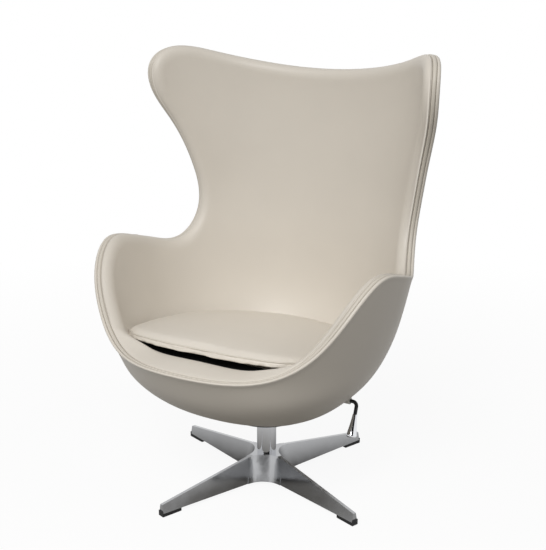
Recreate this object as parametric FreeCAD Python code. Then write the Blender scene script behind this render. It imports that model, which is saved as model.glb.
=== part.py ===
import FreeCAD, Part
import math
import os

os.makedirs("parts", exist_ok=True)

Vector = FreeCAD.Vector
UP = Vector(0, 0, 1)
SIDE = Vector(1, 0, 0)
FAR = 900.0                     # reaches past the whole chair in any direction
PAST = 1.0                      # cutters reach this far past the face they cut

# Everything is laid out around the swivel axis, which stands on x = 0, y = 0.
# The sitter faces -Y and sits with the left hand on the +X side.

# Outer surface of the pod, as level rings: height, half width, front, back, widest line
POD_RINGS = [
    (182, 94, -94, 94, 0),
    (193, 123, -112, 123, -6),
    (210, 151, -151, 149, -12),
    (241, 202, -222, 196, -23),
    (300, 266, -316, 249, -31),
    (385, 320, -375, 292, -39),
    (480, 352, -450, 307, -40),
    (585, 377, -540, 311, -38),
    (690, 395, -560, 318, -22),
    (800, 397, -578, 326, -9),
    (910, 405, -588, 329, -5),
    (1010, 412, -594, 320, -6),
    (1090, 412, -600, 306, -6),
]
RING_POINTS = 24                # points on each ring
FRONT_FULLNESS = 2.2            # power of the front half of a ring: 2 is an ellipse
BACK_FULLNESS = 2.0

# Rim of the pod seen from the side: y and height of the crest, from the lip to the top
RIM_LINE = [
    (-381, 409), (-366, 408), (-340, 412), (-295, 447), (-237, 545), (-144, 622), (-40, 605),
    (17, 589), (94, 576), (160, 649), (158, 770), (113, 891), (67, 984), (72, 1036), (123, 1071),
    (218, 1054), (283, 1027), (307, 1016),
]
CREST_INSET = 12.0              # the crest lies this far inside the outer surface

# Layers of the pod, from the outside in
COVER_THICK = 1.4               # leather
LAYER_GAP = 0.3                 # clearance between two curved layers
OUTER_PAD_THICK = 4.3
SHELL_THICK = 6.0
SEAT_WALL = 38.0                # whole wall beside the cushion
TOP_WALL = 38.0                 # whole wall at the arms, wings and head
SEAT_WALL_TOP = 430.0           # the wall begins to thin above this height
TOP_WALL_START = 620.0
SHELL_SETBACK = 12.0            # the moulded edge stays this far below the rim
PAD_SETBACK = 0.4               # the padding ends this far below the covers' edges
WELT_OUTER_DEPTH = 7.0          # the welt runs along the rim between two depths in the wall
WELT_INNER_DEPTH = 17.0
WELT_HEIGHT = 5.0               # the welt lies on the covers' edges and reaches up to the rim

# Seat well inside the pod, and the loose cushion in it
SEAT_RING = 5                   # the ring of the pod that lies beside the cushion
WELL_FRONT = -296.0
WELL_BACK = 262.0
WELL_CENTRE = -70.0
WELL_FULLNESS = 3.2
WELL_SIDE_ROOM = 8.0            # the well reaches this far into the padded walls
LIP_HEIGHT = 408.0              # top of the padded lip in front of the well
GUTTER_DEPTH = 11.0             # low part of the deck, from the lip down
GUTTER_WIDTH = 34.0
LINING_REACH = 110.0            # black cloth goes up the well in front of its widest line
SEAT_TIP_DEG = 8.6              # deck and cushion fall to the back by this angle
CUSHION_FRONT_GAP = 12.0        # from the well's front to the cushion
CUSHION_SIDE_GAP = 12.0
CUSHION_BACK_GAP = 34.0
CUSHION_CENTRE = -50.0
CUSHION_FRONT_FULLNESS = 3.8
CUSHION_BACK_FULLNESS = 2.0
CUSHION_OVER_LIP = 16.0         # the cushion's underside in front is this far above the lip
CUSHION_BOXING = 18.0           # height of the side strip
CUSHION_DRAW_IN = 3.0           # how far the side strip is pulled in at half height
CUSHION_FOOT_ROUND = 3.0        # rounding of the side strip's lower edge
CUSHION_CROWN = 9.0             # rise of the top above the side strip
CROWN_STEPS = [(0.45, 26.0), (0.8, 70.0), (1.0, 150.0)]     # share of the rise, from the side
CUSHION_SEAT_GAP = 0.3
CUSHION_SHEET = 1.2             # leather of the cushion cover
CUSHION_ARCS = 12               # arcs in the cushion's outline
PIPING_R = 2.6

# Underside of the pod and the tilt mechanism in it
OPENING_R = 84.0
BLOCK_TOP = 215.0               # top of the plywood block bonded into the bottom of the shell
RECESS_R = 100.0
RECESS_ROOM = 11.0              # clearance over the ears that hang on the pivot
PLATE_ROOM = 1.0                # clearance round the seat plate's edge
SCREW_ROOM = 8.0                # clearance over the seat plate for its screw heads
DUST_COVER_R = 93.0
DUST_COVER_THICK = 3.2
DUST_COVER_HOLE_R = 50.0
DUST_SCREW_R = 2.0
DUST_SCREW_CIRCLE_R = 88.5
DUST_SCREW_HEAD = 1.8
DUST_SCREW_LENGTH = 27.0
DUST_HOLE_SPARE = 3.0           # the screw holes go this much deeper
TILT_HEIGHT = 261.0             # tilt axis, which is also the axis of the lever rod
SEAT_PLATE_R = 125.0
SEAT_PLATE_THICK = 4.0
WINDOW_HALF_X = 45.5
WINDOW_HALF_Y = 73.0
EAR_THICK = 5.0
EAR_HALF_Y = 20.0
HEAD_EAR_INNER = 38.0           # inner face of a swivel bracket's ear
SEAT_EAR_INNER = 46.0           # inner face of a seat plate's ear
HEAD_PLATE_HALF_Y = 60.0
HEAD_PLATE_THICK = 5.0
PIVOT_R = 10.0
PIVOT_END = 58.0
BUSH_WALL = 2.5
CLIP_WIDTH = 4.0                # how far the spring clips stand out round their shafts
RUNNING = 0.05                  # radial clearance of a turning fit
BUFFER_R = 17.0                 # rubber torsion sleeve round the pivot
SEAT_SCREW_R = 4.0
SEAT_SCREW_X = 88.0
SEAT_SCREW_Y = 62.0
SEAT_SCREW_LENGTH = 13.0
SEAT_SCREW_HEAD_R = 6.8
SEAT_SCREW_HEAD = 4.0

# Lever: a bent rod through the hollow pivot, with a drop-shaped handle
ROD_R = 4.5
ROD_REACH = 254.0               # axis of the hanging part, from the middle
ROD_BEND_R = 11.0
ROD_DROP = 29.0                 # from the tilt axis down to the handle
ROD_HANG_DEG = 20.0             # the lever hangs this far forward of straight down
HANDLE_LENGTH = 56.0
HANDLE_NECK_R = 5.6
HANDLE_END_R = 12.5
HANDLE_WAIST = 0.7              # how far the handle's side is drawn in between neck and end
HANDLE_ROUND = 6.9              # height of the widest place above the foot
HANDLE_KNEE_R = 11.3            # a place on the round between them, and its height
HANDLE_KNEE_HEIGHT = 1.9
HANDLE_FOOT_R = 7.5
ROD_BUSH_R = 8.5
ROD_NUT_ACROSS = 17.0
ROD_NUT_THICK = 8.0
ROD_END = 4.0                   # the rod ends this far beyond its nut
COLLAR_WALL = 3.5
COLLAR_LENGTH = 6.0
ROD_BUSH_START = 165.0
ROD_BUSH_END = 236.0
WASHER_THICK = 1.6

# Swivel column
COLUMN_R = 24.5
COLUMN_WALL = 2.5
COLUMN_TOP = 172.0
SPINDLE_R = 12.5
LOWER_BUSH_LENGTH = 26.0
UPPER_BUSH_LENGTH = 30.0
BUSH_FLANGE = 3.0
RACE_THICK = 1.5
BALL_R = 2.4
BALL_COUNT = 12
BALL_CIRCLE_R = 18.5
CAGE_THICK = 1.6
CAGE_GAP = 0.1                  # clearance of the balls in their cage
CAGE_SIDE_GAP = 0.5
SPINDLE_ROOM = 1.0              # clearance round the spindle where nothing guides it
SPINDLE_NUT_ACROSS = 30.0
SPINDLE_NUT_THICK = 12.0
SPINDLE_END = 3.0               # the spindle ends this far beyond its nut
SPINDLE_FOOT = 3.0              # height of the spindle's foot above the floor
FOOT_WASHER_WIDTH = 6.0

# Cast base
LEG_COUNT = 4
FIRST_LEG_DEG = -19.3
LEG_REACH = 325.0
GLIDE_THICK = 9.5
LEG_TIP_TOP = 31.0
LEG_RIDGE_SLOPE = 0.164         # fall of the ridge per millimetre outwards
LEG_RIDGE_HALF = 4.0
LEG_FLANK_SLOPE = 0.20          # how much a flank spreads per millimetre down
HUB_TOP = 76.0
HUB_R = 31.0
CROTCH_R = 56.0                 # hollow corner between two legs
CASTING_WALL = 4.5
SIDE_WALL_SHARE = 0.9           # a leg's side walls, as a share of the casting's wall
HUB_FLOOR = 10.0
HOLLOW_START = 46.0             # the legs are hollow underneath between two radii
HOLLOW_END = 262.0
GLIDE_LENGTH = 54.0
GLIDE_WIDTH = 17.5
GLIDE_LIP = 5.0                 # the glide turns up over the leg's end by this much
GLIDE_LIP_THICK = 2.0
GLIDE_SCREW_R = 2.0
GLIDE_SCREW_LENGTH = 12.0
GLIDE_SCREW_HEAD = 1.6
GLIDE_CHAMFER = 1.2

# Heights and places that follow from the sizes above
pod_bottom = POD_RINGS[0][0]
pod_reach_front = RIM_LINE[0][0] - CREST_INSET
pod_reach_back = max(ring[3] for ring in POD_RINGS)
pad_depth = COVER_THICK + LAYER_GAP
shell_depth = pad_depth + OUTER_PAD_THICK + LAYER_GAP
fill_depth = shell_depth + SHELL_THICK + LAYER_GAP
skin_depth = COVER_THICK + LAYER_GAP
gutter_floor = LIP_HEIGHT - GUTTER_DEPTH
cushion_front_height = LIP_HEIGHT + CUSHION_OVER_LIP
recess_top = TILT_HEIGHT + EAR_HALF_Y + RECESS_ROOM
well_half_width = POD_RINGS[SEAT_RING][1] - SEAT_WALL + WELL_SIDE_ROOM
cushion_half_width = POD_RINGS[SEAT_RING][1] - SEAT_WALL - CUSHION_SIDE_GAP
cushion_front = WELL_FRONT + CUSHION_FRONT_GAP
cushion_back = POD_RINGS[SEAT_RING][3] - SEAT_WALL - CUSHION_BACK_GAP
deck_slope = -math.tan(math.radians(SEAT_TIP_DEG))
casting_bottom = GLIDE_THICK
hub_floor_top = casting_bottom + HUB_FLOOR
column_bore_r = COLUMN_R - COLUMN_WALL
race_bottom = COLUMN_TOP + BUSH_FLANGE
ball_height = race_bottom + RACE_THICK + BALL_R + RUNNING
upper_race_bottom = ball_height + BALL_R + RUNNING
boss_bottom = upper_race_bottom + RACE_THICK
head_plate_bottom = BLOCK_TOP
head_plate_top = head_plate_bottom + HEAD_PLATE_THICK
head_half_x = HEAD_EAR_INNER + EAR_THICK
spindle_top = head_plate_top + SPINDLE_NUT_THICK + SPINDLE_END
dust_cover_top = pod_bottom - LAYER_GAP
dust_cover_bottom = dust_cover_top - DUST_COVER_THICK
seat_plate_top = BLOCK_TOP + SEAT_PLATE_THICK
origin_shift = -(pod_reach_front + pod_reach_back) / 2.0


def save(name, shape):
    """Writes one piece, moved so that the origin is under the middle of the chair."""
    placed = shape.copy()
    placed.translate(Vector(0, origin_shift, 0))
    placed.exportStep(f"parts/{name}.step")


def signed_power(value, power):
    return math.copysign(abs(value) ** power, value)


def ring_point(half_width, front, back, centre, height, angle, front_power, back_power):
    """A point of a level ring, where angle 0 is the back and half a turn is the front."""
    across = math.sin(angle)
    along = math.cos(angle)
    power = back_power if along > 0 else front_power
    reach = (back - centre) if along > 0 else (centre - front)
    x = half_width * signed_power(across, 2.0 / power)
    y = centre + reach * signed_power(along, 2.0 / power)
    return Vector(x, y, height)


def pod_normal(index):
    """Unit normal of the pod's wall at a ring, as (level part, part along Z), pointing out."""
    low = POD_RINGS[max(index - 1, 0)]
    high = POD_RINGS[min(index + 1, len(POD_RINGS) - 1)]
    spread = high[1] - low[1]
    rise = high[0] - low[0]
    length = math.hypot(spread, rise)
    return rise / length, -spread / length


def pod_ring(index, depth):
    """One ring of the pod's wall, sunk to a depth below the outer surface."""
    height, half_width, front, back, centre = POD_RINGS[index]
    level, upright = pod_normal(index)
    inward = depth * level
    points = []
    parameters = []
    for step in range(RING_POINTS):
        angle = 2.0 * math.pi * step / RING_POINTS
        points.append(ring_point(half_width - inward, front + inward, back - inward, centre,
                                 height - depth * upright, angle, FRONT_FULLNESS, BACK_FULLNESS))
        parameters.append(step / RING_POINTS)
    parameters.append(1.0)
    curve = Part.BSplineCurve()
    curve.interpolate(Points=points, PeriodicFlag=True, Parameters=parameters)
    return Part.Wire(curve.toShape())


def pod_solid(depth_at):
    """The closed pod inside a surface that lies depth_at(height) below the outer one."""
    rings = [pod_ring(index, depth_at(POD_RINGS[index][0])) for index in range(len(POD_RINGS))]
    return Part.makeLoft(rings, True, False)


def outer_pod(depth):
    return pod_solid(lambda height: depth)


def wall_at(height):
    share = (height - SEAT_WALL_TOP) / (TOP_WALL_START - SEAT_WALL_TOP)
    share = min(max(share, 0.0), 1.0)
    return SEAT_WALL + share * (TOP_WALL - SEAT_WALL)


def inner_pod(behind):
    """The room inside the padding, grown by a distance behind the inner leather's face."""
    return pod_solid(lambda height: wall_at(height) - behind)


def rim_block(lift):
    """All space under the rim line, which is raised square to itself by lift."""
    points = []
    last = len(RIM_LINE) - 1
    for index, (y, z) in enumerate(RIM_LINE):
        before = RIM_LINE[max(index - 1, 0)]
        after = RIM_LINE[min(index + 1, last)]
        run = after[0] - before[0]
        rise = after[1] - before[1]
        length = math.hypot(run, rise)
        points.append(Vector(-FAR, y - lift * rise / length, z + lift * run / length))
    curve = Part.BSplineCurve()
    curve.interpolate(points)
    start = points[0]
    end = points[-1]
    corners = [end, Vector(-FAR, FAR, end.z), Vector(-FAR, FAR, -FAR), Vector(-FAR, -FAR, -FAR),
               Vector(-FAR, -FAR, start.z), start]
    edges = [curve.toShape()]
    for first, second in zip(corners, corners[1:]):
        edges.append(Part.LineSegment(first, second).toShape())
    return Part.Face(Part.Wire(edges)).extrude(Vector(2 * FAR, 0, 0))


def cylinder(radius, bottom, top, x=0.0, y=0.0):
    return Part.makeCylinder(radius, top - bottom, Vector(x, y, bottom), UP)


def tube(outer_r, inner_r, bottom, top):
    return cylinder(outer_r, bottom, top).cut(cylinder(inner_r, bottom - PAST, top + PAST))


def cross_cylinder(radius, start_x, end_x):
    """A cylinder on the tilt axis, between two places across the chair."""
    return Part.makeCylinder(radius, end_x - start_x, Vector(start_x, 0, TILT_HEIGHT), SIDE)


def block(x0, x1, y0, y1, z0, z1):
    return Part.makeBox(x1 - x0, y1 - y0, z1 - z0, Vector(x0, y0, z0))


def hexagon_nut(across, bore_r, thick):
    corner_r = across / math.sqrt(3.0)
    corners = []
    for side in range(7):
        angle = math.radians(60.0 * side)
        corners.append(Vector(corner_r * math.cos(angle), corner_r * math.sin(angle), 0))
    nut = Part.Face(Part.makePolygon(corners)).extrude(Vector(0, 0, thick))
    return nut.cut(cylinder(bore_r, -PAST, thick + PAST))


def place_on_tilt_axis(shape, x):
    """Turns a piece made on +Z so that it lies on the tilt axis, its foot at x."""
    placed = shape.copy()
    placed.rotate(Vector(0, 0, 0), Vector(0, 1, 0), 90)
    placed.translate(Vector(x, 0, TILT_HEIGHT))
    return placed


# Rooms cut out of the pod's filling

def deck_height(y):
    """Height of the deck under the cushion, which it carries all over."""
    return cushion_front_height - CUSHION_SEAT_GAP + deck_slope * (y - cushion_front)


def deck_block(lower):
    """Everything under the seat deck and its gutter, lower by the given distance."""
    step = cushion_front + GUTTER_WIDTH + lower
    corners = [Vector(-FAR, -FAR, -FAR), Vector(-FAR, -FAR, gutter_floor - lower),
               Vector(-FAR, step, gutter_floor - lower), Vector(-FAR, step, deck_height(step) - lower),
               Vector(-FAR, FAR, deck_height(FAR) - lower), Vector(-FAR, FAR, -FAR),
               Vector(-FAR, -FAR, -FAR)]
    return Part.Face(Part.makePolygon(corners)).extrude(Vector(2 * FAR, 0, 0))


def well_prism(grow):
    """An upright block with the outline of the seat well."""
    points = []
    for step in range(RING_POINTS):
        angle = 2.0 * math.pi * step / RING_POINTS
        points.append(ring_point(well_half_width + grow, WELL_FRONT - grow, WELL_BACK + grow,
                                 WELL_CENTRE, 0, angle, WELL_FULLNESS, WELL_FULLNESS))
    curve = Part.BSplineCurve()
    curve.interpolate(Points=points, PeriodicFlag=True)
    return Part.Face(Part.Wire(curve.toShape())).extrude(Vector(0, 0, FAR))


def lip_block(lower):
    """The padded lip in front of the well, lower and further from the well by a distance."""
    space = block(-FAR, FAR, -FAR, WELL_CENTRE, 0, LIP_HEIGHT - lower)
    return space.cut(well_prism(lower))


def sitting_room(behind):
    """The hollow in which one sits, grown by a distance behind the leather's face."""
    room = inner_pod(behind)
    room = room.cut(deck_block(behind))
    return room.cut(lip_block(behind))


def mechanism_room():
    """The recess for the mechanism, the seat plate and the channel for the lever rod."""
    recess = cylinder(RECESS_R, BLOCK_TOP, recess_top)
    plate_room = cylinder(SEAT_PLATE_R + PLATE_ROOM, BLOCK_TOP, seat_plate_top + SCREW_ROOM)
    return recess.fuse(plate_room)


def rod_channel():
    return cross_cylinder(ROD_BUSH_R, SEAT_EAR_INNER, ROD_REACH)


# Layers of the pod

def outer_layer(depth, thick, setback):
    layer = outer_pod(depth).cut(outer_pod(depth + thick))
    layer = layer.common(rim_block(-setback))
    layer = layer.cut(cylinder(OPENING_R, 0, BLOCK_TOP))
    return layer.cut(rod_channel())


def make_outer_cover():
    return outer_layer(0.0, COVER_THICK, WELT_HEIGHT).cut(dust_screw_holes())


def make_outer_padding():
    return outer_layer(pad_depth, OUTER_PAD_THICK, WELT_HEIGHT).cut(dust_screw_holes())


def make_moulded_shell():
    return outer_layer(shell_depth, SHELL_THICK, SHELL_SETBACK).cut(dust_screw_holes())


filling = outer_pod(fill_depth).common(rim_block(-WELT_HEIGHT - PAD_SETBACK))
room_behind_cover = sitting_room(skin_depth)
filling_body = filling.cut(room_behind_cover)
deck_underside = deck_block(skin_depth)


def make_wall_padding():
    """Foam on the inside of the shell above the deck, with the thick lip."""
    return filling_body.cut(deck_underside)


def make_seat_foam():
    """Moulded foam between the plywood block and the deck."""
    foam = filling_body.common(deck_underside)
    foam = foam.cut(cylinder(FAR, 0, BLOCK_TOP + LAYER_GAP))
    return foam.cut(mechanism_room()).cut(rod_channel())


def make_mounting_block():
    """Plywood block bonded into the bottom of the shell."""
    wood = filling.common(cylinder(FAR, 0, BLOCK_TOP))
    wood = wood.cut(cylinder(OPENING_R, 0, BLOCK_TOP))
    return wood.cut(dust_screw_holes()).cut(seat_screw_holes())


def inside_skin():
    skin = outer_pod(fill_depth).common(rim_block(-WELT_HEIGHT))
    skin = skin.common(sitting_room(COVER_THICK))
    return skin.cut(sitting_room(0.0))


def lining_region():
    """Where the skin of the well is black cloth: the deck and the wall under the lip."""
    deck = deck_block(0.0)
    upstand = block(-FAR, FAR, -FAR, WELL_CENTRE - LINING_REACH, 0, LIP_HEIGHT - COVER_THICK)
    upstand = upstand.common(well_prism(COVER_THICK))
    return deck.fuse(upstand)


skin_of_room = inside_skin()
black_region = lining_region()


def make_inner_cover():
    return skin_of_room.cut(black_region)


def make_deck_lining():
    return skin_of_room.common(black_region)


def make_rim_welt():
    band = outer_pod(WELT_OUTER_DEPTH).cut(outer_pod(WELT_INNER_DEPTH))
    return band.common(rim_block(0.0)).cut(rim_block(LAYER_GAP - WELT_HEIGHT))


# Loose cushion

def cushion_outline(inset, level):
    """One level of the cushion, as short arcs in the cushion's own plane."""
    points = []
    for step in range(2 * CUSHION_ARCS):
        angle = math.pi * step / CUSHION_ARCS
        points.append(ring_point(cushion_half_width - inset, cushion_front + inset,
                                 cushion_back - inset, CUSHION_CENTRE, level, angle,
                                 CUSHION_FRONT_FULLNESS, CUSHION_BACK_FULLNESS))
    points.append(points[0])
    edges = []
    for arc in range(CUSHION_ARCS):
        first, middle, last = points[2 * arc:2 * arc + 3]
        edges.append(Part.Arc(first, middle, last).toShape())
    return Part.Wire(edges)


def lay_in_well(shape):
    """Lays the cushion on the deck, tipped back with it."""
    placed = shape.copy()
    placed.translate(Vector(0, 0, cushion_front_height))
    placed.rotate(Vector(0, cushion_front, cushion_front_height), SIDE, -SEAT_TIP_DEG)
    return placed


def cushion_body(sheet):
    """The crowned cushion, or what is inside its cover when sheet is the leather's thickness."""
    levels = [
        (sheet, CUSHION_FOOT_ROUND + sheet),
        (CUSHION_FOOT_ROUND + sheet, sheet),
        (CUSHION_BOXING / 2.0, CUSHION_DRAW_IN + sheet),
        (CUSHION_BOXING - sheet, sheet),
    ]
    for share, inset in CROWN_STEPS:
        levels.append((CUSHION_BOXING + share * CUSHION_CROWN - sheet, inset + sheet))
    outlines = [cushion_outline(inset, level) for level, inset in levels]
    return Part.makeLoft(outlines, True, True)


def make_cushion_cover():
    return lay_in_well(cushion_body(0.0).cut(cushion_body(CUSHION_SHEET)))


def make_cushion_core():
    return lay_in_well(cushion_body(CUSHION_SHEET + CUSHION_SEAT_GAP))


def make_cushion_piping():
    """Cord in a leather sleeve along the seam between the top panel and the side strip."""
    rings = []
    for across, along in ((0.0, -PIPING_R), (PIPING_R, 0.0), (0.0, PIPING_R), (-PIPING_R, 0.0)):
        rings.append(cushion_outline(-across - PIPING_R - LAYER_GAP, CUSHION_BOXING + along))
    outer = Part.makeLoft([rings[0], rings[1], rings[2]], True, True)
    core = Part.makeLoft([rings[0], rings[3], rings[2]], True, True)
    return lay_in_well(outer.cut(core))


# Underside of the pod

def dust_screw_places():
    places = []
    for quarter in range(4):
        angle = math.radians(45.0 + 90.0 * quarter)
        places.append((DUST_SCREW_CIRCLE_R * math.cos(angle), DUST_SCREW_CIRCLE_R * math.sin(angle)))
    return places


def dust_screw_holes():
    top = dust_cover_bottom + DUST_SCREW_LENGTH + DUST_HOLE_SPARE
    holes = [cylinder(DUST_SCREW_R, 0, top, x, y) for x, y in dust_screw_places()]
    return Part.makeCompound(holes)


def make_dust_cover():
    ring = tube(DUST_COVER_R, DUST_COVER_HOLE_R, dust_cover_bottom, dust_cover_top)
    return ring.cut(dust_screw_holes())


def make_dust_cover_screws():
    screws = []
    for x, y in dust_screw_places():
        head_bottom = dust_cover_bottom - DUST_SCREW_HEAD
        head = cylinder(2 * DUST_SCREW_R, head_bottom, dust_cover_bottom, x, y)
        shank = cylinder(DUST_SCREW_R, head_bottom, dust_cover_bottom + DUST_SCREW_LENGTH, x, y)
        screws.append(head.fuse(shank))
    return Part.makeCompound(screws)


def seat_screw_places():
    return [(x, y) for x in (-SEAT_SCREW_X, SEAT_SCREW_X) for y in (-SEAT_SCREW_Y, SEAT_SCREW_Y)]


def seat_screw_holes():
    bottom = BLOCK_TOP - SEAT_SCREW_LENGTH
    top = seat_plate_top + PAST
    holes = [cylinder(SEAT_SCREW_R, bottom, top, x, y) for x, y in seat_screw_places()]
    return Part.makeCompound(holes)


def make_seat_plate():
    """Steel plate screwed to the block, with two ears that hang on the pivot."""
    plate = cylinder(SEAT_PLATE_R, BLOCK_TOP, seat_plate_top)
    plate = plate.cut(block(-WINDOW_HALF_X, WINDOW_HALF_X, -WINDOW_HALF_Y, WINDOW_HALF_Y,
                            BLOCK_TOP - PAST, seat_plate_top + PAST))
    for side in (-1, 1):
        x = sorted((side * SEAT_EAR_INNER, side * (SEAT_EAR_INNER + EAR_THICK)))
        ear = block(x[0], x[1], -EAR_HALF_Y, EAR_HALF_Y, BLOCK_TOP, TILT_HEIGHT)
        ear = ear.fuse(cross_cylinder(EAR_HALF_Y, x[0], x[1]))
        plate = plate.fuse(ear)
    plate = plate.cut(cross_cylinder(PIVOT_R, -FAR, FAR))
    return plate.cut(seat_screw_holes()).removeSplitter()


def make_seat_plate_screws():
    screws = []
    for x, y in seat_screw_places():
        head_top = seat_plate_top + SEAT_SCREW_HEAD
        head = cylinder(SEAT_SCREW_HEAD_R, seat_plate_top, head_top, x, y)
        shank = cylinder(SEAT_SCREW_R, BLOCK_TOP - SEAT_SCREW_LENGTH, head_top, x, y)
        screws.append(head.fuse(shank))
    return Part.makeCompound(screws)


def make_tilt_pivot():
    pin = cross_cylinder(PIVOT_R, -PIVOT_END, PIVOT_END)
    return pin.cut(cross_cylinder(ROD_R + RUNNING, -FAR, FAR))


def make_pivot_clips():
    """Two spring clips on the pivot, outside the seat plate's ears."""
    clips = []
    outer_face = SEAT_EAR_INNER + EAR_THICK
    for x in (-outer_face - WASHER_THICK, outer_face):
        clip = cross_cylinder(PIVOT_R + CLIP_WIDTH, x, x + WASHER_THICK)
        clips.append(clip.cut(cross_cylinder(PIVOT_R, x - PAST, x + WASHER_THICK + PAST)))
    return Part.makeCompound(clips)


# Swivel head

def make_swivel_bracket():
    """Steel channel on the spindle, with two ears that carry the pivot."""
    boss = cylinder(column_bore_r, boss_bottom, head_plate_top)
    plate = block(-head_half_x, head_half_x, -HEAD_PLATE_HALF_Y, HEAD_PLATE_HALF_Y,
                  head_plate_bottom, head_plate_top)
    bracket = boss.fuse(plate)
    for side in (-1, 1):
        x = sorted((side * HEAD_EAR_INNER, side * head_half_x))
        ear = block(x[0], x[1], -EAR_HALF_Y, EAR_HALF_Y, head_plate_bottom, TILT_HEIGHT)
        ear = ear.fuse(cross_cylinder(EAR_HALF_Y, x[0], x[1]))
        bracket = bracket.fuse(ear)
    bracket = bracket.cut(cylinder(SPINDLE_R, 0, head_plate_top + PAST))
    return bracket.cut(cross_cylinder(PIVOT_R + BUSH_WALL, -FAR, FAR)).removeSplitter()


def make_pivot_bushes():
    """Two flanged nylon bushes in the bracket's ears."""
    bushes = []
    for side in (-1, 1):
        x = sorted((side * HEAD_EAR_INNER, side * (head_half_x + WASHER_THICK)))
        flange = sorted((side * head_half_x, side * (head_half_x + WASHER_THICK)))
        bush = cross_cylinder(PIVOT_R + BUSH_WALL, x[0], x[1])
        bush = bush.fuse(cross_cylinder(PIVOT_R + 2 * BUSH_WALL, flange[0], flange[1]))
        bushes.append(bush.cut(cross_cylinder(PIVOT_R + RUNNING, -FAR, FAR)).removeSplitter())
    return Part.makeCompound(bushes)


def make_torsion_sleeve():
    """Thick rubber sleeve on the pivot, which brings the seat upright again."""
    sleeve = cross_cylinder(BUFFER_R, -HEAD_EAR_INNER, HEAD_EAR_INNER)
    return sleeve.cut(cross_cylinder(PIVOT_R + RUNNING, -FAR, FAR))


def make_spindle():
    return cylinder(SPINDLE_R, SPINDLE_FOOT, spindle_top)


def make_spindle_nut():
    nut = hexagon_nut(SPINDLE_NUT_ACROSS, SPINDLE_R, SPINDLE_NUT_THICK)
    nut.translate(Vector(0, 0, head_plate_top))
    return nut


def make_upper_race():
    return tube(column_bore_r, SPINDLE_R, upper_race_bottom, boss_bottom)


def make_lower_race():
    return tube(column_bore_r, SPINDLE_R + SPINDLE_ROOM, race_bottom, race_bottom + RACE_THICK)


def ball_places():
    places = []
    for number in range(BALL_COUNT):
        angle = 2.0 * math.pi * number / BALL_COUNT
        x = BALL_CIRCLE_R * math.cos(angle)
        y = BALL_CIRCLE_R * math.sin(angle)
        places.append(Vector(x, y, ball_height))
    return places


def make_bearing_balls():
    return Part.makeCompound([Part.makeSphere(BALL_R, place) for place in ball_places()])


def make_ball_cage():
    half = CAGE_THICK / 2.0
    cage = tube(column_bore_r - CAGE_SIDE_GAP, SPINDLE_R + SPINDLE_ROOM, ball_height - half,
                ball_height + half)
    for place in ball_places():
        cage = cage.cut(Part.makeSphere(BALL_R + CAGE_GAP, place))
    return cage


# Column

def make_column():
    return tube(COLUMN_R, column_bore_r, hub_floor_top, COLUMN_TOP)


def make_lower_bush():
    return tube(column_bore_r, SPINDLE_R + RUNNING, hub_floor_top, hub_floor_top + LOWER_BUSH_LENGTH)


def make_upper_bush():
    bush = cylinder(column_bore_r, COLUMN_TOP - UPPER_BUSH_LENGTH, COLUMN_TOP)
    bush = bush.fuse(cylinder(COLUMN_R, COLUMN_TOP, race_bottom))
    return bush.cut(cylinder(SPINDLE_R + RUNNING, 0, FAR)).removeSplitter()


def make_spindle_washer():
    return tube(SPINDLE_R + FOOT_WASHER_WIDTH, SPINDLE_R, casting_bottom - RUNNING - WASHER_THICK,
                casting_bottom - RUNNING)


def make_spindle_clip():
    top = casting_bottom - RUNNING - WASHER_THICK
    return tube(SPINDLE_R + CLIP_WIDTH, SPINDLE_R, top - WASHER_THICK, top)


# Cast base

def leg_section(radius, top, ridge_half, spread_slope, bottom):
    """Cross-section of a leg that points along +X, as a closed wire."""
    foot_half = ridge_half + (top - bottom) * spread_slope
    corners = [Vector(radius, -foot_half, bottom), Vector(radius, foot_half, bottom),
               Vector(radius, ridge_half, top), Vector(radius, -ridge_half, top),
               Vector(radius, -foot_half, bottom)]
    return Part.makePolygon(corners)


def ridge_height(radius):
    return LEG_TIP_TOP + (LEG_REACH - radius) * LEG_RIDGE_SLOPE


def leg_bar(start, end, drop, bottom):
    """A leg, or what is hollow in it when drop is the casting's wall."""
    ridge_half = LEG_RIDGE_HALF + drop * (LEG_FLANK_SLOPE - SIDE_WALL_SHARE)
    sections = []
    for radius in (start, end):
        sections.append(leg_section(radius, ridge_height(radius) - drop, ridge_half,
                                    LEG_FLANK_SLOPE, bottom))
    return Part.makeLoft(sections, True, True)


def crotch_web():
    """The hub's corner between two legs, hollowed by a large round."""
    flank = LEG_RIDGE_HALF + LEG_FLANK_SLOPE * (ridge_height(0) - casting_bottom)
    taper = 1.0 + LEG_FLANK_SLOPE * LEG_RIDGE_SLOPE
    rounds = []
    for height in (casting_bottom, HUB_TOP):
        corner = (flank - LEG_FLANK_SLOPE * (height - casting_bottom)) / taper
        middle = corner + CROTCH_R
        start = Vector(middle, corner, height)
        end = Vector(corner, middle, height)
        reach = middle - CROTCH_R * math.sqrt(0.5)
        arc = Part.Arc(start, Vector(reach, reach, height), end).toShape()
        zero = Vector(0, 0, height)
        foot_a = Vector(middle, 0, height)
        foot_b = Vector(0, middle, height)
        lines = [Part.LineSegment(a, b).toShape()
                 for a, b in ((end, foot_b), (foot_b, zero), (zero, foot_a), (foot_a, start))]
        rounds.append(Part.Wire([arc] + lines))
    return Part.makeLoft(rounds, True, True)


def under_ridges():
    """A cone of revolution that trims the webs down to the height of the ridges."""
    low = ridge_height(LEG_REACH)
    high = ridge_height(HUB_R)
    cone = Part.makeCone(LEG_REACH, HUB_R, high - low, Vector(0, 0, low), UP)
    return cone.fuse(cylinder(LEG_REACH, 0, low))


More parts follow.
